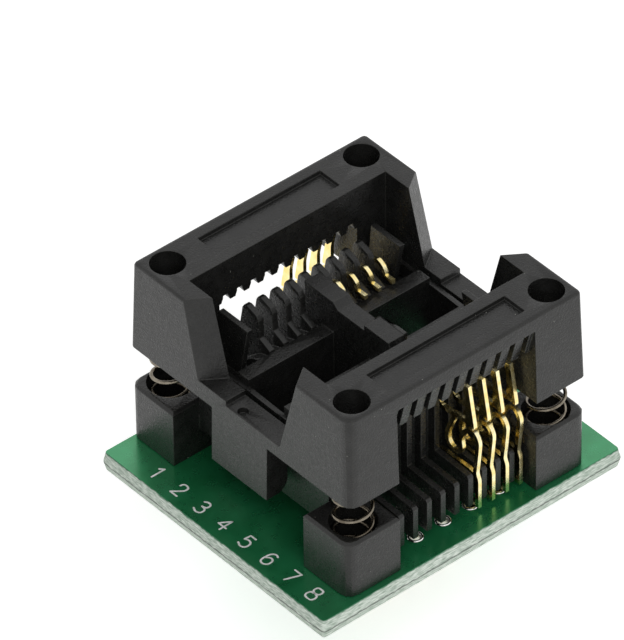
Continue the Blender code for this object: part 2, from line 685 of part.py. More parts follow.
def add_end_notch(bm, side):
    """The space above a rail, between the sloped and slanted faces of two wings."""
    inner_x = OPENING_X - 1 * MM
    outer_x = COVER_HALF_LENGTH + 1 * MM
    over = COVER_TOP + 1 * MM
    slope = (WING_TOP_Y - WING_FOOT_Y) / (COVER_TOP - PAD_TOP)

    def half_width(x, z):
        return WING_FOOT_Y + slope * (z - PAD_TOP) - WING_SLANT * (COVER_HALF_LENGTH - x)

    def ring(z, near_y):
        points = []
        for x, end in ((inner_x, -1), (outer_x, -1), (outer_x, 1), (inner_x, 1)):
            y = end * half_width(x, z)
            points.append(Vector((side * x, min(y, near_y) if end > 0 else y, z)))
        return points

    add_hull(bm, ring(PAD_TOP, OPENING_Y), ring(over, OPENING_Y))


def add_rail_step(bm, side):
    """The shallow step down from the pad to the rail's lower top."""
    inner_x = OPENING_X - 1 * MM
    outer_x = COVER_HALF_LENGTH + 1 * MM
    slope = (WING_TOP_Y - WING_FOOT_Y) / (COVER_TOP - PAD_TOP)

    def ring(z):
        points = []
        for x in (inner_x, outer_x):
            y = -(WING_FOOT_Y + slope * (z - PAD_TOP) - WING_SLANT * (COVER_HALF_LENGTH - x))
            points.append(Vector((side * x, y, z)))
        points += [Vector((side * outer_x, PAD_END_Y, z)), Vector((side * inner_x, PAD_END_Y, z))]
        return points

    add_hull(bm, ring(RAIL_TOP), ring(PAD_TOP + 0.3 * MM))


def window_outline():
    """Section of the space under a bar, with the bar's undercut outer face."""
    under = TONGUE_BOTTOM - 1 * MM
    face_y = COVER_HALF_WIDTH - COVER_DRAFT_Y
    points = [(OPENING_Y - 1 * MM, under), (COVER_HALF_WIDTH + 1 * MM, under)]
    points += [(COVER_HALF_WIDTH + 1 * MM, BAND_BOTTOM), (face_y - BAND_STEP, BAND_BOTTOM)]
    points += [(face_y - BAR_UNDERCUT, BAR_BOTTOM + 0.1 * MM), (OPENING_Y - 1 * MM, BAR_BOTTOM - 0.05 * MM)]
    return points


def cover_slot_outline():
    """Section of a slot in a bar: high where the lever enters, low at the bar's inner face."""
    far = COVER_HALF_WIDTH + 1 * MM
    under = BAR_BOTTOM - 1 * MM
    points = [(far, under), (far, SLOT_CEILING), (TAIL_Y - 1.6 * MM, SLOT_CEILING)]
    points += [(OPENING_Y - 0.2 * MM, BAR_BOTTOM + 0.4 * MM), (OPENING_Y - 0.2 * MM, under)]
    return points


def add_cover_slots(bm):
    for side in (-1, 1):
        for x in row_positions():
            half = COVER_SLOT_WIDTH / 2
            add_prism(bm, cover_slot_outline(), x - half, x + half, along_x(side))


def add_slot_mouths(bm):
    """Flared mouths that leave the teeth between the slots with narrowed ends."""
    half = COVER_SLOT_WIDTH / 2
    deep = 0.5 * MM
    flare = 0.17 * MM
    low = BAR_BOTTOM - 1 * MM
    base_z = BAR_BOTTOM - 0.1 * MM
    outline = [(-half - flare, low), (half + flare, low), (half + flare, base_z)]
    outline += [(half + flare * 0.7, base_z + deep * 0.45), (half, base_z + deep), (-half, base_z + deep)]
    outline += [(-half - flare * 0.7, base_z + deep * 0.45), (-half - flare, base_z)]
    for side in (-1, 1):
        for place in row_positions():
            start, end = sorted((side * (OPENING_Y - 0.3 * MM), side * (COVER_HALF_WIDTH + 0.5 * MM)))
            add_prism(bm, outline, start, end, lambda y, x, z, p=place: Vector((p + x, y, z)))


def add_cover_bores(bm):
    """A spring bore from below and a smaller hole through the top in each post."""
    for sx, sy in signs():
        profile = ((SPRING_OUTER_RADIUS + SPRING_BORE_CLEARANCE, COVER_BOTTOM - 1 * MM),
                   (SPRING_OUTER_RADIUS + SPRING_BORE_CLEARANCE, COVER_BOTTOM + SPRING_BORE_DEPTH),
                   (TOP_HOLE_RADIUS, COVER_BOTTOM + SPRING_BORE_DEPTH),
                   (TOP_HOLE_RADIUS, COVER_TOP + 1 * MM))
        sides = 24
        rings = []
        for radius, z in profile:
            ring = []
            for k in range(sides):
                angle = 2 * math.pi * k / sides
                x = sx * SPRING_X + radius * math.cos(angle)
                y = sy * SPRING_Y + radius * math.sin(angle)
                ring.append(bm.verts.new((x, y, z)))
            rings.append(ring)
        close_rings(bm, rings)


def add_ejector_mark(bm):
    """The shallow round mark an ejector pin left on the left rail."""
    x = -(COVER_HALF_LENGTH - 0.6 * MM)
    add_cylinder(bm, x, 0.24 * MM, 0.4 * MM, RAIL_TOP - 0.1 * MM, RAIL_TOP + 1 * MM, 20)


def add_label_recesses(bm):
    """Shallow rectangular panels in the top of both bars."""
    centre = COVER_HALF_WIDTH - COVER_DRAFT_Y - 2.1 * MM
    for side, half in ((-1, WINDOW_HALF), (1, WINDOW_HALF - 0.7 * MM)):
        start, end = sorted((side * (centre - LABEL_WIDTH / 2), side * (centre + LABEL_WIDTH / 2)))
        add_box(bm, (-half, start, COVER_TOP - LABEL_DEPTH), (half, end, COVER_TOP + 1 * MM))


def add_tongue_rounds(bm):
    """Cutters that round the inner lower edge of each tongue."""
    centre_x = OPENING_X + TONGUE_ROUND
    centre_z = TONGUE_BOTTOM + TONGUE_ROUND
    outline = [(OPENING_X - 1 * MM, centre_z), (OPENING_X - 1 * MM, TONGUE_BOTTOM - 1 * MM)]
    outline += [(centre_x, TONGUE_BOTTOM - 1 * MM)]
    for i in range(7):
        angle = math.radians(270 - 15 * i)
        outline.append((centre_x + TONGUE_ROUND * math.cos(angle), centre_z + TONGUE_ROUND * math.sin(angle)))
    for side in (-1, 1):
        add_prism(bm, outline, -TONGUE_HALF_WIDTH - 1 * MM, TONGUE_HALF_WIDTH + 1 * MM,
                  lambda y, x, z, s=side: Vector((s * x, y, z)))


def add_catches(bm):
    """A sloped catch inside each tongue that holds the cover on the base."""
    root = 0.4 * MM
    for side in (-1, 1):
        high = catch_top()
        low = high - CATCH_HEIGHT
        nose = OPENING_X - CATCH_DEPTH + 0.05 * MM
        outline = [(OPENING_X + root, low), (OPENING_X + root, high), (nose, high), (nose, high - 0.3 * MM)]
        outline += [(OPENING_X, low)]
        add_prism(bm, outline, -CATCH_HALF_WIDTH, CATCH_HALF_WIDTH,
                  lambda y, x, z, s=side: Vector((s * x, y, z)))


def build_cover(material):
    cover = add_object("press_cover", mesh_from(cover_block(), "press_cover"), material)
    opening = bmesh.new()
    add_box(opening, (-OPENING_X, -OPENING_Y, TONGUE_BOTTOM - 1 * MM), (OPENING_X, OPENING_Y, COVER_TOP + 1 * MM))
    combine(cover, opening, "DIFFERENCE")
    below = bmesh.new()
    far = COVER_HALF_WIDTH + 2 * MM
    wide = COVER_HALF_LENGTH + 2 * MM
    for side in (-1, 1):
        start, end = sorted((side * TONGUE_HALF_WIDTH, side * far))
        add_box(below, (-wide, start, TONGUE_BOTTOM - 1 * MM), (wide, end, COVER_BOTTOM))
    combine(cover, below, "DIFFERENCE")
    for add_shape in (add_end_notch, add_rail_step):
        for side in (-1, 1):
            shape = bmesh.new()
            add_shape(shape, side)
            combine(cover, shape, "DIFFERENCE")
    windows = bmesh.new()
    for side in (-1, 1):
        add_prism(windows, window_outline(), -WINDOW_HALF, WINDOW_HALF, along_x(side))
    combine(cover, windows, "DIFFERENCE")
    for add_shape in (add_cover_slots, add_slot_mouths, add_cover_bores, add_label_recesses, add_ejector_mark):
        shape = bmesh.new()
        add_shape(shape)
        combine(cover, shape, "DIFFERENCE")
    catches = bmesh.new()
    add_catches(catches)
    combine(cover, catches, "UNION")
    rounds = bmesh.new()
    add_tongue_rounds(rounds)
    combine(cover, rounds, "DIFFERENCE")
    cover.location = (0.0, SOCKET_SHIFT_Y, BOARD_TOP)
    return cover


def build():
    clear_scene()
    glass_epoxy = make_material("green_solder_mask", (0.01, 0.16, 0.07), 0.35)
    black_resin = make_material("black_moulded_resin", (0.025, 0.025, 0.025), 0.45)
    steel = make_material("spring_steel", (0.6, 0.58, 0.55), 0.3, 1.0)
    gold = make_material("gold_plate", (0.85, 0.6, 0.2), 0.25, 1.0)
    build_board(glass_epoxy)
    build_header_strip("header_strip_front", -1, black_resin)
    build_header_strip("header_strip_back", 1, black_resin)
    build_header_pins(gold)
    build_contacts(gold)
    build_springs(steel)
    shade(build_base(black_resin))
    shade(build_cover(black_resin))


build()
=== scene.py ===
"""Looks of an open-top test socket on a pin adapter board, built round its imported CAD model.

The sections follow the real adapter as it is put together, from the pins up to the press cover.
Units are metres, +Z is up, and the contact rows run along X.
"""

import math

import bmesh
import bpy
from mathutils import Matrix, Vector, noise


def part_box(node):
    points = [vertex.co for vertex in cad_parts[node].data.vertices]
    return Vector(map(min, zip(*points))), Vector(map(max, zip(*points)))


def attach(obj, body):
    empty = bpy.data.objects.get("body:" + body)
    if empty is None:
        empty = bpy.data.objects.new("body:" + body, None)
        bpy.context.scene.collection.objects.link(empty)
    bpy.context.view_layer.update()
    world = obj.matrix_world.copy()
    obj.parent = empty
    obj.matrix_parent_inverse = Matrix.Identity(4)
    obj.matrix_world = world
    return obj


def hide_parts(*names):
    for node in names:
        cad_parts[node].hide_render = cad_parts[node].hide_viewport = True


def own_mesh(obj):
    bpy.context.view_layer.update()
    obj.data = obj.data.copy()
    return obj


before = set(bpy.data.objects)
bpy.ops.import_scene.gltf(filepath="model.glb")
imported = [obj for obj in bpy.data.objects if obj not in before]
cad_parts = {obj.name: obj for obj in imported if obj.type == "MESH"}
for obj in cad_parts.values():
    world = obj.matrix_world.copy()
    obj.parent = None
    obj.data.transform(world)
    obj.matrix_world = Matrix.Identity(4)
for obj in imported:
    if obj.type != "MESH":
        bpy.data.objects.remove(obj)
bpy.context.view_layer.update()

MM = 0.001


# Header pins
# Eight lengths of square brass wire, pointed at both ends and flashed with gold.
# They are pressed through the two strips and soldered into the board.

PIN_EDGE_ROUND = 0.05 * MM
DRAW_LINE = 0.05 * MM
WELD_DISTANCE = 0.0005 * MM
FLAT_DEGREES = 0.6
SHORTEST_IN_WIDTHS = 2.5


def nodes_named(start):
    return [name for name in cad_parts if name.startswith(start)]


def linear(code):
    """An sRGB hex colour as linear red, green, blue and alpha."""
    values = [int(code[i:i + 2], 16) / 255 for i in (1, 3, 5)]
    values = [v / 12.92 if v <= 0.04045 else ((v + 0.055) / 1.055) ** 2.4 for v in values]
    return (*values, 1.0)


def add_node(tree, kind, sockets=None, **settings):
    """Add a node: settings go to its properties, and sockets take a value or another node's output."""
    made = tree.nodes.new(kind)
    for name, value in settings.items():
        setattr(made, name, value)
    for name, value in (sockets or {}).items():
        if isinstance(value, bpy.types.NodeSocket):
            tree.links.new(value, made.inputs[name])
        else:
            made.inputs[name].default_value = value
    return made


def new_material(name, sockets):
    """A new material with these values on its Principled shader, with its node tree and the shader."""
    material = bpy.data.materials.new(name)
    material.use_nodes = True
    tree = material.node_tree
    shader = tree.nodes["Principled BSDF"]
    for socket, value in sockets.items():
        shader.inputs[socket].default_value = value
    return material, tree, shader


def mottle(tree, low, high, size, detail=3.0, stretch=(1.0, 1.0, 1.0), edges=(0.35, 0.65)):
    """Colour or value that drifts between two levels in patches of about this size.

    Closer edges give the patches harder borders, and a lower stretch draws them longer along that axis.
    """
    place = add_node(tree, "ShaderNodeTexCoord").outputs["Object"]
    place = add_node(tree, "ShaderNodeMapping", {"Vector": place, "Scale": stretch}).outputs["Vector"]
    cloud = add_node(tree, "ShaderNodeTexNoise", {"Vector": place, "Scale": 1 / size, "Detail": detail})
    if isinstance(low, tuple):
        ramp = add_node(tree, "ShaderNodeValToRGB", {"Fac": cloud.outputs["Fac"]})
        ramp.color_ramp.elements[0].position, ramp.color_ramp.elements[1].position = edges
        ramp.color_ramp.elements[0].color, ramp.color_ramp.elements[1].color = low, high
        return ramp.outputs["Color"]
    levels = {"Value": cloud.outputs["Fac"], 1: edges[0], 2: edges[1], 3: low, 4: high}
    return add_node(tree, "ShaderNodeMapRange", levels).outputs["Result"]


def relief(tree, shader, size, depth, strength=0.5, detail=2.0, stretch=(1.0, 1.0, 1.0)):
    """Fine surface relief of this grain size and depth."""
    height = mottle(tree, 0.0, 1.0, size, detail, stretch, (0.25, 0.75))
    bump = add_node(tree, "ShaderNodeBump", {"Height": height, "Strength": strength, "Distance": depth})
    tree.links.new(bump.outputs["Normal"], shader.inputs["Normal"])


def put(name, bm, body, materials, smooth=35.0):
    """Make a mesh object from bm, give it its materials, and let it ride on a body."""
    bmesh.ops.recalc_face_normals(bm, faces=bm.faces)
    mesh = bpy.data.meshes.new(name)
    bm.to_mesh(mesh)
    bm.free()
    for material in materials:
        mesh.materials.append(material)
    mesh.shade_smooth()
    mesh.set_sharp_from_angle(angle=math.radians(smooth))
    piece = bpy.data.objects.new(name, mesh)
    bpy.context.scene.collection.objects.link(piece)
    flat = piece.modifiers.new("flat_faces", "WEIGHTED_NORMAL")
    flat.weight = 100
    flat.keep_sharp = True
    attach(piece, body)
    return piece


def joined_faces(node):
    """A CAD node's mesh with its split corners welded and its flat faces joined."""
    bm = bmesh.new()
    bm.from_mesh(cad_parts[node].data)
    bmesh.ops.remove_doubles(bm, verts=bm.verts, dist=WELD_DISTANCE)
    bmesh.ops.dissolve_limit(bm, angle_limit=math.radians(FLAT_DEGREES), verts=bm.verts, edges=bm.edges)
    for face in bm.faces:
        face.material_index = 0
    return bm


def round_edges(bm, width, steps=2, sharper=25.0):
    """Round every edge sharper than this angle, unless it is very short.

    The rounded faces take the second material.
    """
    edges = [e for e in bm.edges if e.is_manifold and e.calc_face_angle() > math.radians(sharper)]
    edges = [e for e in edges if e.calc_length() > SHORTEST_IN_WIDTHS * width]
    bmesh.ops.bevel(bm, geom=edges, offset=width, segments=steps, profile=0.5, affect="EDGES",
                    material=1, clamp_overlap=False, miter_outer="ARC")
    bmesh.ops.triangulate(bm, faces=[f for f in bm.faces if len(f.verts) > 4], ngon_method="BEAUTY")


# Flash gold on drawn brass: pale yellow, with faint lines along the wire.
pin_gold, tree, shader = new_material("gold_flashed_brass_wire", {"Metallic": 1.0, "Roughness": 0.26})
tree.links.new(mottle(tree, linear("#e6c46e"), linear("#f4d88a"), 0.9 * MM), shader.inputs["Base Color"])
relief(tree, shader, DRAW_LINE, 0.004 * MM, 0.2, 1.0, (1.0, 1.0, 0.04))

for node in nodes_named("header_pin_"):
    bm = joined_faces(node)
    round_edges(bm, PIN_EDGE_ROUND)
    piece = put(node + "_wire", bm, "base", [pin_gold, pin_gold])
    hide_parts(node)


# Header strips
# Black nylon bars, injection moulded, with a nick between neighbouring pins.
# The pins hold them against the underside of the board.

STRIP_EDGE_ROUND = 0.09 * MM

# Moulded nylon: near black and satin, a little cloudy where the melt flowed.
nylon, tree, shader = new_material("moulded_black_nylon", {"IOR": 1.53, "Roughness": 0.42})
tree.links.new(mottle(tree, linear("#131312"), linear("#1e1e1c"), 1.5 * MM), shader.inputs["Base Color"])
tree.links.new(mottle(tree, 0.36, 0.5, 0.7 * MM), shader.inputs["Roughness"])
relief(tree, shader, 0.14 * MM, 0.008 * MM, 0.35)

for node in ("header_strip_front", "header_strip_back"):
    bm = joined_faces(node)
    round_edges(bm, STRIP_EDGE_ROUND)
    piece = put(node + "_moulding", bm, "base", [nylon, nylon])
    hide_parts(node)


# Circuit board
# A glass-epoxy panel, 1.6 mm thick, scored on a large sheet and snapped off, so its edges lean out to a
# broken ridge near mid thickness. Both faces carry green solder mask with openings round the plated holes.

SCORE_REACH = 0.24 * MM
EDGE_STEP = 0.11 * MM
CORNER_RADIUS = 0.22 * MM
CORNER_STEPS = 5
FRAY = 0.022 * MM
LONG_WAVE = 0.9 * MM
SHORT_WAVE = 0.23 * MM
LIFT_WAVE = 0.4 * MM
# Each loop of points round the edge: its depth in mm, its share of the score's reach, and how far the broken
# glass fibres fray there.
EDGE_PROFILE = ((0.0, 0.0, 0.3), (0.05, 0.06, 0.5), (0.25, 0.28, 0.7), (0.45, 0.5, 0.8), (0.65, 0.74, 1.0),
                (0.78, 0.84, 1.6), (0.86, 0.96, 1.9), (0.94, 0.82, 1.6), (1.1, 0.62, 1.0), (1.3, 0.36, 0.8),
                (1.5, 0.12, 0.5), (1.57, 0.02, 0.3))
RIDGE_DEPTH = 0.87 * MM
RIDGE_WANDER = 0.05 * MM
RIDGE_CORE = 0.03 * MM
RIDGE_HALO = 0.1 * MM
MASK_RUN_START = 0.04 * MM
MASK_RUN_END = 0.16 * MM
CLOTH = 0.5 * MM
ROW_PITCH = 1.27 * MM
ROW_HOLES = 10
OUTER_LINE = 9.7 * MM
INNER_LINE = 7.16 * MM
CONTACT_HOLE = 0.42 * MM
HEADER_HOLE = 0.52 * MM
HOLE_SIDES = 28

board_low, board_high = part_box("circuit_board")
cover_low, cover_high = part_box("press_cover")
socket_y = (cover_low.y + cover_high.y) / 2
BOARD_TOP = board_high.z
BOARD_BOTTOM = board_low.z


def node_middle(node):
    low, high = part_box(node)
    return (low + high) / 2


def header_holes():
    return [tuple(node_middle(name).xy) for name in nodes_named("header_pin_")]


def contact_holes():
    """Two staggered lines of holes for each row. The back row is the front one turned by half a turn."""
    holes = []
    for side in (-1, 1):
        for i in range(ROW_HOLES):
            x = (i - (ROW_HOLES - 1) / 2) * ROW_PITCH
            line = OUTER_LINE if i % 2 == 0 else INNER_LINE
            holes.append((-side * x, side * line + socket_y))
    return holes


def all_holes():
    """Place and radius of every hole in the board."""
    rows = ((contact_holes(), CONTACT_HOLE), (header_holes(), HEADER_HOLE))
    return [(x, y, radius) for holes, radius in rows for x, y in holes]


def circle(x, y, radius, sides=HOLE_SIDES):
    turns = [2 * math.pi * k / sides for k in range(sides)]
    return [(x + radius * math.cos(t), y + radius * math.sin(t)) for t in turns]


def board_outline():
    """Points round the board's face at even steps, with the outward direction at each."""
    half_x = board_high.x - SCORE_REACH - CORNER_RADIUS
    half_y = board_high.y - SCORE_REACH - CORNER_RADIUS
    points = []
    corners = ((half_x, -half_y, -90), (half_x, half_y, 0), (-half_x, half_y, 90), (-half_x, -half_y, 180))
    for i, (x, y, start) in enumerate(corners):
        for k in range(CORNER_STEPS + 1):
            turn = math.radians(start + 90 / CORNER_STEPS * k)
            out = Vector((math.cos(turn), math.sin(turn)))
            points.append((Vector((x, y)) + out * CORNER_RADIUS, out))
        following = corners[(i + 1) % 4]
        end = math.radians(following[2])
        out = Vector((math.cos(end), math.sin(end)))
        begin = points[-1][0]
        finish = Vector(following[:2]) + out * CORNER_RADIUS
        steps = round((finish - begin).length / EDGE_STEP)
        points += [(begin.lerp(finish, k / steps), out) for k in range(1, steps)]
    return points


def ring(bm, points, z):
    return [bm.verts.new((x, y, z)) for x, y in points]


def bridge(bm, near, far, material=0):
    count = len(near)
    for i in range(count):
        j = (i + 1) % count
        bm.faces.new((near[i], near[j], far[j], far[i])).material_index = material


def fill_between(bm, loops, material):
    """Fill the flat region inside the first loop and outside the others."""
    edges = []
    for loop in loops:
        edges += [bm.edges.get((a, b)) or bm.edges.new((a, b)) for a, b in zip(loop, loop[1:] + loop[:1])]
    made = bmesh.ops.triangle_fill(bm, use_beauty=True, use_dissolve=False, edges=edges)
    for item in made["geom"]:
        if isinstance(item, bmesh.types.BMFace):
            item.material_index = material


def edge_loop(bm, outline, depth, share, fray):
    """One loop of points round the broken edge. It waves up and down, except the first and the last."""
    z = BOARD_TOP - depth * MM
    wavy = depth not in (EDGE_PROFILE[0][0], EDGE_PROFILE[-1][0])
    loop = []
    for point, out in outline:
        spot = Vector((point.x, point.y, z))
        coarse = noise.noise(spot / LONG_WAVE) * 0.5 + noise.noise(spot / SHORT_WAVE) * 0.5
        reach = SCORE_REACH * share - FRAY * fray * (0.6 + coarse)
        lift = noise.noise(spot / LIFT_WAVE) * FRAY if wavy else 0.0
        loop.append(bm.verts.new((*(point + out * reach), z + lift)))
    return loop


outline = board_outline()
bm = bmesh.new()
edge_rings = [edge_loop(bm, outline, *level) for level in EDGE_PROFILE]
for near, far in zip(edge_rings, edge_rings[1:]):
    bridge(bm, near, far, 1)
bottom_loop = [bm.verts.new((*(point - out * FRAY), BOARD_BOTTOM)) for point, out in outline]
bridge(bm, edge_rings[-1], bottom_loop, 1)
top_loops, bottom_loops = [edge_rings[0]], [bottom_loop]
for x, y, radius in all_holes():
    upper, lower = (ring(bm, circle(x, y, radius), z) for z in (BOARD_TOP, BOARD_BOTTOM))
    bridge(bm, upper, lower, 1)
    top_loops.append(upper)
    bottom_loops.append(lower)
fill_between(bm, top_loops, 0)
fill_between(bm, bottom_loops, 0)

# Solder mask: clear green epoxy ink over copper, so part of its colour is a soft gleam from below.
# It is slightly uneven over the weave of the glass cloth.
mask, tree, shader = new_material("green_solder_mask_ink", {
    "IOR": 1.55, "Metallic": 0.62, "Roughness": 0.3,
    "Coat Weight": 1.0, "Coat Roughness": 0.18, "Coat IOR": 1.45})
tree.links.new(mottle(tree, linear("#278a54"), linear("#2f9760"), 2.2 * MM), shader.inputs["Base Color"])
tree.links.new(mottle(tree, 0.26, 0.36, 0.8 * MM), shader.inputs["Roughness"])
relief(tree, shader, CLOTH, 0.008 * MM, 0.2)

# Broken glass-epoxy: pale greenish fibre ends, streaked along the edge. Along the ridge where it snapped runs
# a dark, wandering line, partly torn fibres and partly painted shade where the edge turns under, and a little
# green mask has run over the upper rim.
laminate, tree, shader = new_material("broken_glass_epoxy_edge", {"IOR": 1.55, "Roughness": 0.75})
fibres = mottle(tree, linear("#a6b9a9"), linear("#ecf5eb"), 0.16 * MM, 4.0, (0.3, 0.3, 2.0))
place = add_node(tree, "ShaderNodeTexCoord").outputs["Object"]
height = add_node(tree, "ShaderNodeSeparateXYZ", {"Vector": place}).outputs["Z"]
wander = mottle(tree, -RIDGE_WANDER, RIDGE_WANDER, 0.5 * MM, 3.0, edges=(0.3, 0.7))
height = add_node(tree, "ShaderNodeMath", {0: height, 1: wander}, operation="ADD").outputs["Value"]
away = add_node(tree, "ShaderNodeMath", {0: height, 1: BOARD_TOP - RIDGE_DEPTH}, operation="SUBTRACT")
away = add_node(tree, "ShaderNodeMath", {0: away.outputs["Value"]}, operation="ABSOLUTE").outputs["Value"]
ridge = add_node(tree, "ShaderNodeMapRange", {"Value": away, 1: RIDGE_CORE, 2: RIDGE_HALO, 3: 0.75, 4: 0.0})
broken = add_node(tree, "ShaderNodeMix", {0: ridge.outputs["Result"], 6: fibres, 7: linear("#333d35")},
                  data_type="RGBA").outputs[2]
rim = add_node(tree, "ShaderNodeMapRange", {
    "Value": height, 1: BOARD_TOP - MASK_RUN_END, 2: BOARD_TOP - MASK_RUN_START})
edge_colour = add_node(tree, "ShaderNodeMix", {0: rim.outputs["Result"], 6: broken, 7: linear("#1f6a45")},
                       data_type="RGBA").outputs[2]
tree.links.new(edge_colour, shader.inputs["Base Color"])
relief(tree, shader, 0.12 * MM, 0.03 * MM, 0.45, 3.0, (0.4, 0.4, 1.6))

board = put("board_laminate", bm, "base", [mask, laminate])
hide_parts("circuit_board")


# Printed numbers
# Plain pin numbers in white epoxy ink, screen printed on the mask in a row along the left edge.
# They stand with their heads to the socket, in strokes of one width with round ends.

INK_WIDTH = 0.15 * MM
INK_LIFT = 0.012 * MM
INK_OVERLAP = 0.004 * MM
FIGURE_HEIGHT = 1.2 * MM
FIGURE_PITCH = 2.4 * MM
FIGURE_FOOT_X = -12.9 * MM
FIRST_FIGURE_Y = 7.6 * MM
CAP_STEPS = 6
# Strokes of each figure, in parts of its height: across, then up.
FIGURES = {
    1: (((0.1, 0.78), (0.34, 1.0)), ((0.34, 1.0), (0.34, 0.0))),
    2: (((0.04, 0.76), (0.08, 0.98), (0.32, 1.04), (0.58, 0.94), (0.58, 0.64), (0.3, 0.3), (0.03, 0.0)),
        ((0.03, 0.0), (0.6, 0.0))),
    3: (((0.06, 0.9), (0.3, 1.06), (0.58, 0.96), (0.58, 0.62), (0.26, 0.54)),
        ((0.26, 0.54), (0.62, 0.5), (0.66, 0.1), (0.34, -0.06), (0.03, 0.1))),
    4: (((0.46, 1.0), (0.0, 0.32)), ((0.0, 0.32), (0.66, 0.32)), ((0.46, 1.0), (0.46, 0.0))),
    5: (((0.54, 1.0), (0.1, 1.0)), ((0.1, 1.0), (0.06, 0.56)),
        ((0.06, 0.56), (0.34, 0.68), (0.64, 0.56), (0.66, 0.1), (0.34, -0.06), (0.03, 0.1))),
    6: (((0.54, 0.96), (0.34, 1.06), (0.06, 0.86), (0.0, 0.3), (0.12, -0.04), (0.46, -0.04), (0.66, 0.2),
         (0.6, 0.56), (0.34, 0.66), (0.04, 0.4)),),
    7: (((0.03, 1.0), (0.62, 1.0)), ((0.62, 1.0), (0.24, 0.0))),
    8: (((0.32, 0.54), (0.04, 0.62), (0.06, 1.0), (0.32, 1.04), (0.58, 1.0), (0.6, 0.62), (0.32, 0.54)),
        ((0.32, 0.54), (-0.02, 0.46), (0.0, 0.0), (0.32, -0.05), (0.64, 0.0), (0.66, 0.46), (0.32, 0.54))),
}


def curved(points, rounds=3):
    """Cut the corners of an open line into a curve that keeps its two ends."""
    for _ in range(rounds):
        result = [points[0]]
        for a, b in zip(points, points[1:]):
            result += [a.lerp(b, 0.25), a.lerp(b, 0.75)]
        result.append(points[-1])
        points = result
    return points


def add_cap(bm, centre, start, end):
    """Half a disc of ink round the end of a stroke, from one of its corners to the other."""
    arm = start.co.xy - centre.xy
    rim = [start]
    for k in range(1, CAP_STEPS):
        turn = Matrix.Rotation(-math.pi * k / CAP_STEPS, 2)
        rim.append(bm.verts.new((*(centre.xy + turn @ arm), start.co.z)))
    bm.faces.new(rim + [end])


def add_stroke(bm, points):
    """A ribbon of ink along these points, with a round cap at each end.

    It rises a trifle on its way, so that its end lies on top where it crosses its start.
    """
    pairs = []
    for i, point in enumerate(points):
        z = BOARD_TOP + INK_LIFT + INK_OVERLAP * i / len(points)
        ahead = points[min(i + 1, len(points) - 1)] - points[max(i - 1, 0)]
        side = Vector((-ahead.y, ahead.x)).normalized() * INK_WIDTH / 2
        pairs.append([bm.verts.new((*(point + side * s), z)) for s in (1, -1)])
    for (a, b), (c, d) in zip(pairs, pairs[1:]):
        bm.faces.new((a, b, d, c))
    add_cap(bm, points[0], pairs[0][1], pairs[0][0])
    add_cap(bm, points[-1], pairs[-1][0], pairs[-1][1])


# Screen-printed epoxy ink: off-white and matte, a little thin in places.
ink, tree, shader = new_material("white_screen_printed_ink", {"IOR": 1.5, "Roughness": 0.5})
tree.links.new(mottle(tree, linear("#dfe5df"), linear("#ffffff"), 0.35 * MM), shader.inputs["Base Color"])
relief(tree, shader, 0.1 * MM, 0.006 * MM, 0.4)

bm = bmesh.new()
for number, strokes in FIGURES.items():
    left = FIRST_FIGURE_Y - (number - 1) * FIGURE_PITCH + socket_y
    for stroke in strokes:
        spots = [Vector((FIGURE_FOOT_X + v * FIGURE_HEIGHT, left - u * FIGURE_HEIGHT)) for u, v in stroke]
        add_stroke(bm, curved(spots) if len(spots) > 2 else spots)
put("printed_pin_numbers", bm, "base", [ink])


# Plated holes
# Every hole has a copper barrel with a land on both faces, tinned in the last bath.
# The mask stops short of the lands, and a thin dark ring lies round each, in the gap.

LAND_WIDTH = 0.18 * MM
LAND_HEIGHT = 0.075 * MM
MASK_LINE = 0.06 * MM
BARREL_WALL = 0.03 * MM
BARREL_REACH = 0.8 * MM
OPENING_LIFT = 0.004 * MM
TUCK = 0.02 * MM


def land_section(radius):
    """Radius and height of a land's rings: up the barrel, over a softly domed face, and into the board."""
    inner = radius - BARREL_WALL
    outer = radius + LAND_WIDTH
    return (
        (inner, -BARREL_REACH),
        (inner, 0.0),
        (inner + 0.025 * MM, LAND_HEIGHT * 0.7),
        ((inner + outer) / 2, LAND_HEIGHT),
        (outer - 0.05 * MM, LAND_HEIGHT * 0.75),
        (outer - 0.015 * MM, LAND_HEIGHT * 0.35),
        (outer, 0.0),
        (radius + BARREL_WALL, -TUCK),
    )


def opening_section(radius):
    """Radius and height of an opening's rings: from under the land to under the mask."""
    near = radius + LAND_WIDTH - TUCK
    far = near + MASK_LINE
    return (near, OPENING_LIFT), (far, OPENING_LIFT), (far + TUCK, -TUCK / 2)


def round_shapes(section_of):
    """A round shape of this section at both ends of every hole."""
    bm = bmesh.new()
    for x, y, radius in all_holes():
        for z, up in ((BOARD_TOP, 1), (BOARD_BOTTOM, -1)):
            loops = [ring(bm, circle(x, y, r), z + up * h) for r, h in section_of(radius)]
            for near, far in zip(loops, loops[1:]):
                bridge(bm, near, far)
    return bm


# Hot tin: bright, greyish white metal with a soft, slightly wavy skin.
tin, tree, shader = new_material("hot_tinned_copper", {"Metallic": 1.0, "Roughness": 0.22})
tree.links.new(mottle(tree, linear("#dcdcd7"), linear("#f6f6f2"), 0.4 * MM), shader.inputs["Base Color"])
relief(tree, shader, 0.2 * MM, 0.015 * MM, 0.4)

put("plated_holes", round_shapes(land_section), "base", [tin], 60.0)

# The thin ring in the mask's openings: dull, dark green-brown.
opening_ring, tree, shader = new_material("dark_ring_in_mask_opening", {"IOR": 1.5, "Roughness": 0.6})
tree.links.new(mottle(tree, linear("#0c2a1b"), linear("#173c28"), 0.2 * MM), shader.inputs["Base Color"])
relief(tree, shader, 0.1 * MM, 0.01 * MM)

put("mask_openings", round_shapes(opening_section), "base", [opening_ring])


# Solder joints
# Tin solder wicked up round the header pins above the board and round the contact tails below it.
# Each joint is a small cone with a hollow, shiny flank.

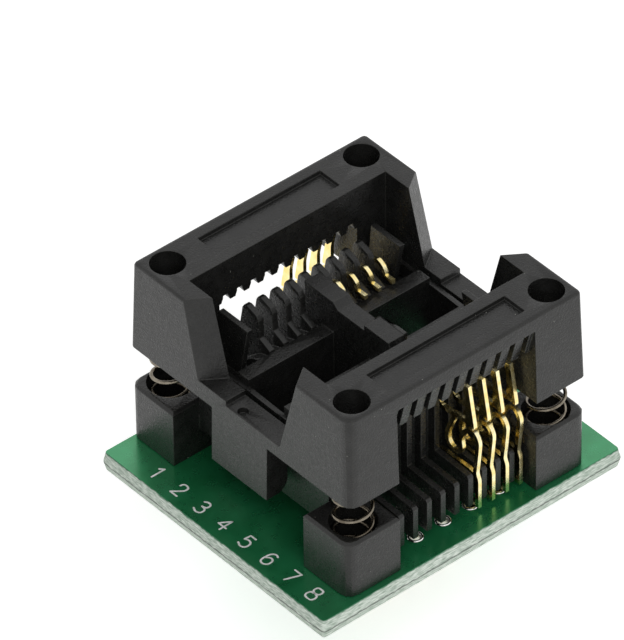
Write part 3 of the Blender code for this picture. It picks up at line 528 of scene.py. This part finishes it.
JOINT_HEIGHT = 0.75 * MM
JOINT_STEPS = 7
JOINT_FOOT_OUT = LAND_WIDTH * 0.9
JOINT_HOLLOW = 2.2
JOINT_LIFT = 0.03 * MM
WOBBLE = 0.03
WOBBLE_WAVE = 1.3 * MM
HEADER_NECK = 0.43 * MM
CONTACT_NECK = 0.28 * MM
IN_LINE = 0.1 * MM


def add_joint(bm, x, y, foot, neck, z, up):
    """A fillet that thins from the land to a ring close round the pin, and closes into the hole."""
    loops = []
    for k in range(JOINT_STEPS + 1):
        share = k / JOINT_STEPS
        radius = neck + (foot - neck) * (1 - share) ** JOINT_HOLLOW
        wobble = 1 + WOBBLE * noise.noise(Vector((x, y, z)) / WOBBLE_WAVE + Vector((0, 0, share)))
        loops.append(ring(bm, circle(x, y, radius * wobble), z + up * (JOINT_LIFT + share * JOINT_HEIGHT)))
    for height in (JOINT_HEIGHT * 0.9, 0.0):
        loops.append(ring(bm, circle(x, y, neck * 0.6), z + up * height))
    for near, far in zip(loops, loops[1:]):
        bridge(bm, near, far)
    bridge(bm, loops[-1], loops[0])


def fitted_holes():
    """The contact holes that hold a tail: those in line with a contact, on its side of the board."""
    fitted = []
    for name in nodes_named("contact_"):
        middle = node_middle(name)
        in_line = [hole for hole in contact_holes() if abs(hole[0] - middle.x) < IN_LINE]
        fitted += [hole for hole in in_line if hole[1] * middle.y > 0]
    return fitted


# Tin solder, frozen from the melt: shiny grey with faint dull patches.
solder, tree, shader = new_material("frozen_tin_solder", {"Metallic": 1.0, "Roughness": 0.28})
tree.links.new(mottle(tree, linear("#b3b4b1"), linear("#dcdcd8"), 0.5 * MM), shader.inputs["Base Color"])
tree.links.new(mottle(tree, 0.2, 0.42, 0.3 * MM), shader.inputs["Roughness"])
relief(tree, shader, 0.25 * MM, 0.02 * MM, 0.4)

bm = bmesh.new()
for x, y in header_holes():
    add_joint(bm, x, y, HEADER_HOLE + JOINT_FOOT_OUT, HEADER_NECK, BOARD_TOP, 1)
put("header_solder", bm, "base", [solder], 60.0)

bm = bmesh.new()
for x, y in fitted_holes():
    add_joint(bm, x, y, CONTACT_HOLE + JOINT_FOOT_OUT, CONTACT_NECK, BOARD_BOTTOM, -1)
put("contact_solder", bm, "base", [solder], 60.0)


# Socket base
# One moulding of charcoal, glass-filled resin: four feet, two combs of ribs that part the contacts,
# the ledges for the chip's leads, and the wall that divides the nest. It stands on the board on its feet.

BASE_EDGE_ROUND = 0.045 * MM
DUST_CELL = 0.75 * MM
DUST_CHANCE = 0.3
PIT_SIZE = 0.13 * MM


def charcoal_resin(name, dark, light, rough):
    """Glass-filled resin from a spark-eroded mould: matte charcoal, finely pitted, with stray pale dust."""
    material, tree, shader = new_material(name, {"IOR": 1.56, "Roughness": rough, "Specular IOR Level": 0.32})
    cloud = mottle(tree, linear(dark), linear(light), 1.1 * MM, 5.0)
    place = add_node(tree, "ShaderNodeTexCoord").outputs["Object"]
    # Dust grains are about 0.04 mm across, drawn at 0.07 mm so that some show. A few cells hold one.
    cells = add_node(tree, "ShaderNodeTexVoronoi", {"Vector": place, "Scale": 1 / DUST_CELL}).outputs
    grain = add_node(tree, "ShaderNodeMapRange", {
        "Value": cells["Distance"], 1: 0.03, 2: 0.055, 3: 1.0, 4: 0.0}).outputs["Result"]
    draw = add_node(tree, "ShaderNodeSeparateColor", {"Color": cells["Color"]}).outputs["Red"]
    few = add_node(tree, "ShaderNodeMath", {0: draw, 1: 1 - DUST_CHANCE}, operation="GREATER_THAN")
    dust = add_node(tree, "ShaderNodeMath", {0: grain, 1: few.outputs["Value"]}, operation="MULTIPLY")
    speckled = add_node(tree, "ShaderNodeMix", {0: dust.outputs["Value"], 6: cloud, 7: linear("#a3a39b")},
                        data_type="RGBA")
    tree.links.new(speckled.outputs[2], shader.inputs["Base Color"])
    tree.links.new(mottle(tree, rough - 0.07, rough + 0.07, 0.3 * MM), shader.inputs["Roughness"])
    # The mould's pits are about 0.05 mm wide, drawn at 0.13 mm so that they show.
    relief(tree, shader, PIT_SIZE, 0.03 * MM, 0.6, 3.0)
    return material


resin = charcoal_resin("spark_textured_glass_filled_resin", "#191918", "#222221", 0.3)
# The rounded edges take a lighter charcoal, a painted highlight along them, and are a trifle glossier.
resin_edge_highlight = charcoal_resin("resin_edges_with_painted_highlight", "#222220", "#2a2a28", 0.28)

bm = joined_faces("socket_base")
round_edges(bm, BASE_EDGE_ROUND)
base = put("socket_base_moulding", bm, "base", [resin, resin_edge_highlight])
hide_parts("socket_base")


# Contacts
# Eight springy copper-alloy stampings, gold plated, pushed down into the slots of the two combs.
# Each has a pin, a hooked tail, a U-shaped spring, a lever for the cover, and a tip for the chip's lead.

DIE_ROUND = 0.035 * MM
SOFTEN_STEPS = 2
SOFTEN_SHARE = 0.25
SOFTEN_REACH = 0.12 * MM
KEEP_CORNER = 50.0
RIM_CORNER = 60.0


def side_outline(node):
    """The stamped outline of a contact, read off its flat side."""
    bm = joined_faces(node)
    flat = max([f for f in bm.faces if f.normal.x > 0.99], key=lambda f: f.calc_area())
    points = [vert.co.copy() for vert in flat.verts]
    bm.free()
    return points


def softened(points):
    """Cut the corners of a closed outline into small curves, but keep the square ends of the strip."""
    for _ in range(SOFTEN_STEPS):
        result = []
        count = len(points)
        for i, point in enumerate(points):
            before, after = points[i - 1], points[(i + 1) % count]
            bend = (point - before).angle(after - point, 0.0)
            if math.degrees(bend) > KEEP_CORNER:
                result.append(point)
                continue
            for other in (before, after):
                away = (other - point).length
                result.append(point.lerp(other, min(SOFTEN_SHARE, SOFTEN_REACH / away)))
        points = result
    return points


def stamping(outline, low_x, high_x):
    """A flat strip of this outline, with slightly rounded rims. The sheared rim takes the second material."""
    bm = bmesh.new()
    sides = [[bm.verts.new((x, point.y, point.z)) for point in outline] for x in (low_x, high_x)]
    bm.faces.new(sides[0])
    bm.faces.new(list(reversed(sides[1])))
    bridge(bm, sides[0], sides[1], 1)
    rims = [e for e in bm.edges if e.calc_face_angle() > math.radians(RIM_CORNER)]
    rims = [e for e in rims if abs(e.verts[0].co.x - e.verts[1].co.x) < DIE_ROUND]
    bmesh.ops.bevel(bm, geom=rims, offset=DIE_ROUND, segments=2, profile=0.5, affect="EDGES",
                    material=1, clamp_overlap=True)
    return bm


# Gold plate: the rolled sides are smooth, and the sheared rims show fine lines from the die.
# The rims are also a paler gold, a painted highlight.
contact_gold, tree, shader = new_material("gold_plated_spring_alloy", {"Metallic": 1.0, "Roughness": 0.2})
tree.links.new(mottle(tree, linear("#ffe08c"), linear("#fff3b6"), 0.8 * MM), shader.inputs["Base Color"])
tree.links.new(mottle(tree, 0.14, 0.22, 0.35 * MM), shader.inputs["Roughness"])
relief(tree, shader, 0.06 * MM, 0.004 * MM, 0.2, 2.0, (1.0, 1.0, 0.3))
rim_gold_highlight, tree, shader = new_material("gold_sheared_rim_with_painted_highlight", {"Metallic": 1.0, "Roughness": 0.22})
tree.links.new(mottle(tree, linear("#fbe49a"), linear("#fff6c8"), 0.6 * MM), shader.inputs["Base Color"])
relief(tree, shader, 0.05 * MM, 0.01 * MM, 0.35, 2.0, (0.2, 1.0, 1.0))

for node in nodes_named("contact_"):
    low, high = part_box(node)
    bm = stamping(softened(side_outline(node)), low.x, high.x)
    piece = put(node + "_stamping", bm, "base", [contact_gold, rim_gold_highlight], 40.0)
    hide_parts(node)


# Springs
# Four coils of drawn spring steel, with a closed and ground turn at each end.
# Each stands in a foot of the base and reaches into a bore of the cover, which squeezes it when pressed.

SPRING_WIRE = 0.28 * MM
SPRING_TURNS = 8.5
CLOSED_TURNS = 1.0
CLOSED_RISE = 1.12
TURN_STEPS = 36
WIRE_SIDES = 12


def coil_height(turn, low, high):
    """Height of the wire's middle after this many turns: close at both ends of the coil, open between."""
    closed = CLOSED_TURNS * SPRING_WIRE * CLOSED_RISE
    rise = high - low - SPRING_WIRE - 2 * closed
    active = min(max(turn - CLOSED_TURNS, 0.0), SPRING_TURNS - 2 * CLOSED_TURNS)
    start = min(turn, CLOSED_TURNS) / CLOSED_TURNS * closed
    finish = max(turn - SPRING_TURNS + CLOSED_TURNS, 0.0) / CLOSED_TURNS * closed
    return low + SPRING_WIRE / 2 + start + finish + rise * active / (SPRING_TURNS - 2 * CLOSED_TURNS)


def wire_ring(bm, turn, low, high):
    """Points round the wire after this many turns. What would lie past the coil's ends is ground flat."""
    middle = (low + high) / 2
    radius = (high.x - low.x) / 2 - SPRING_WIRE / 2
    out = Vector((math.cos(2 * math.pi * turn), math.sin(2 * math.pi * turn), 0.0))
    z = coil_height(turn, low.z, high.z)
    points = []
    for k in range(WIRE_SIDES):
        phase = 2 * math.pi * k / WIRE_SIDES
        spot = middle + out * (radius + math.cos(phase) * SPRING_WIRE / 2)
        spot.z = min(max(z + math.sin(phase) * SPRING_WIRE / 2, low.z), high.z)
        points.append(bm.verts.new(spot))
    return points


def coil(low, high):
    """A wire coil that fills the box between these corners."""
    bm = bmesh.new()
    steps = round(SPRING_TURNS * TURN_STEPS)
    loops = [wire_ring(bm, SPRING_TURNS * i / steps, low, high) for i in range(steps + 1)]
    for near, far in zip(loops, loops[1:]):
        bridge(bm, near, far)
    bm.faces.new(loops[0])
    bm.faces.new(list(reversed(loops[-1])))
    return bm


# Drawn spring steel: grey with a warm tint from heat treatment, and fine die lines.
wire, tree, shader = new_material("drawn_spring_steel", {"Metallic": 1.0, "Roughness": 0.24})
tree.links.new(mottle(tree, linear("#655d51"), linear("#968e80"), 0.9 * MM), shader.inputs["Base Color"])
tree.links.new(mottle(tree, 0.2, 0.34, 0.4 * MM), shader.inputs["Roughness"])
relief(tree, shader, 0.05 * MM, 0.002 * MM, 0.1, 2.0, (1.0, 1.0, 2.5))

for node in nodes_named("spring_"):
    low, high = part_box(node)
    piece = put(node + "_coil", coil(low, high), "base", [wire], 60.0)
    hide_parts(node)
    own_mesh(piece)


# Press cover
# One moulding of the same resin: two slotted bars on corner posts, joined by low rails at both ends.
# Two tongues clip it over the base, and four springs hold it up.

COVER_EDGE_ROUND = 0.045 * MM
EJECTOR_MARK_X = -8.0 * MM
EJECTOR_MARK_AREA = (0.35 * MM ** 2, 0.6 * MM ** 2)
EJECTOR_MARK_SIDES = 12
EJECTOR_MARK_SINK = 0.38 * MM
PANEL_DEPTH = 0.35 * MM


def deepen_ejector_mark(bm):
    """Press the ejector pin's round mark in the left rail a little deeper."""
    smallest, largest = EJECTOR_MARK_AREA
    for face in bm.faces:
        level = face.normal.z > 0.99 and face.calc_center_median().x < EJECTOR_MARK_X
        if level and smallest < face.calc_area() < largest and len(face.verts) > EJECTOR_MARK_SIDES:
            for vert in face.verts:
                vert.co.z -= EJECTOR_MARK_SINK


def polish_panels(bm):
    """Give the floors of the two panels in the top the third material."""
    for face in bm.faces:
        depth = cover_high.z - face.calc_center_median().z
        if face.normal.z > 0.99 and PANEL_DEPTH * 0.9 < depth < PANEL_DEPTH * 1.1:
            face.material_index = 2


# The panels' floors come from smooth steel inserts in the mould, so they are less matte than the rest.
panel = charcoal_resin("smooth_resin_of_panel_floors", "#1c1c1b", "#232322", 0.16)

bm = joined_faces("press_cover")
deepen_ejector_mark(bm)
round_edges(bm, COVER_EDGE_ROUND)
polish_panels(bm)
cover = put("press_cover_moulding", bm, "cover", [resin, resin_edge_highlight, panel])
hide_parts("press_cover")


# Studio
# A sheet of white paper in a white room, with a soft lamp high at the front left, one behind the object and a
# weak one low in front. The camera stands where the photograph was taken, with a long lens.

AZIMUTH, ELEVATION, ROLL = math.radians(-40.034), math.radians(40.431), math.radians(-0.877)
DISTANCE = 669.11 * MM
AIM = Vector((1.990, 7.577, 16.15)) * MM
FOCAL_PIXELS = 9522.2
FRAME_PIXELS = 640
SENSOR = 36.0
ROOM_LIGHT = 0.08
PAPER_LIGHT = 0.35
PAPER_GLOW = 0.72
PAPER_HALF = 0.6
PAPER_DROP = 0.2 * MM
LAMP_SIZE = 0.3
LAMP_DISTANCE = 0.35
LAMP_AIM = Vector((0, 0, 0.015))

back = Vector((math.sin(AZIMUTH) * math.cos(ELEVATION), -math.cos(AZIMUTH) * math.cos(ELEVATION),
               math.sin(ELEVATION)))
level = Vector((math.cos(AZIMUTH), math.sin(AZIMUTH), 0.0))
upright = back.cross(level)
right = math.cos(ROLL) * level + math.sin(ROLL) * upright
up = -math.sin(ROLL) * level + math.cos(ROLL) * upright
camera = bpy.data.objects.new("camera", bpy.data.cameras.new("camera"))
bpy.context.scene.collection.objects.link(camera)
camera.matrix_world = Matrix((right, up, back)).transposed().to_4x4()
camera.location = AIM + back * DISTANCE
camera.data.sensor_width = SENSOR
camera.data.lens = FOCAL_PIXELS * SENSOR / FRAME_PIXELS
camera.data.clip_start = 0.01
camera.data.clip_end = 10.0
bpy.context.scene.camera = camera


def seen_directly(tree):
    """1 for rays from the camera and in reflections, 0 for the light that falls on the object."""
    path = add_node(tree, "ShaderNodeLightPath").outputs
    seen = path["Is Camera Ray"]
    for other in ("Is Glossy Ray", "Is Transmission Ray"):
        either = add_node(tree, "ShaderNodeMath", {0: seen, 1: path[other]}, operation="MAXIMUM")
        seen = either.outputs["Value"]
    return seen


world = bpy.data.worlds.new("white_room")
bpy.context.scene.world = world
world.use_nodes = True
tree = world.node_tree
tree.nodes.clear()
strength = add_node(tree, "ShaderNodeMapRange", {"Value": seen_directly(tree), 3: ROOM_LIGHT, 4: 1.0})
room = add_node(tree, "ShaderNodeBackground", {
    "Color": (1.0, 1.0, 1.0, 1.0), "Strength": strength.outputs["Result"]})
add_node(tree, "ShaderNodeOutputWorld", {"Surface": room.outputs["Background"]})

# White paper sheet: its own light keeps it white to the camera, and it still takes the object's shadow.
paper = bpy.data.materials.new("white_paper_sheet")
paper.use_nodes = True
tree = paper.node_tree
tree.nodes.clear()
glow = add_node(tree, "ShaderNodeMapRange", {"Value": seen_directly(tree), 3: PAPER_LIGHT, 4: PAPER_GLOW})
white = add_node(tree, "ShaderNodeEmission", {
    "Color": (1.0, 1.0, 1.0, 1.0), "Strength": glow.outputs["Result"]})
matte = add_node(tree, "ShaderNodeBsdfDiffuse", {"Color": linear("#d9d9d7")})
both = add_node(tree, "ShaderNodeAddShader", {0: matte.outputs["BSDF"], 1: white.outputs["Emission"]})
add_node(tree, "ShaderNodeOutputMaterial", {"Surface": both.outputs["Shader"]})

bm = bmesh.new()
bmesh.ops.create_grid(bm, x_segments=1, y_segments=1, size=PAPER_HALF)
sheet = bpy.data.meshes.new("table")
bm.to_mesh(sheet)
bm.free()
sheet.materials.append(paper)
table = bpy.data.objects.new("table", sheet)
bpy.context.scene.collection.objects.link(table)
table.location.z = -PAPER_DROP


def add_lamp(name, direction, power):
    """A square soft lamp that looks at the object from this direction. Gloss mirrors only the room."""
    lamp = bpy.data.lights.new(name, "AREA")
    lamp.size = LAMP_SIZE
    lamp.energy = power
    item = bpy.data.objects.new(name, lamp)
    bpy.context.scene.collection.objects.link(item)
    toward = Vector(direction).normalized()
    item.location = toward * LAMP_DISTANCE + LAMP_AIM
    item.rotation_mode = "QUATERNION"
    item.rotation_quaternion = toward.to_track_quat("Z", "Y")
    item.visible_glossy = False


add_lamp("key_softbox", (-0.45, -0.75, 0.9), 0.8)
add_lamp("back_softbox", (0.55, 0.85, 0.65), 0.5)
add_lamp("front_softbox", (0.2, -1.0, 0.2), 0.08)

bpy.context.scene.view_settings.view_transform = "Standard"
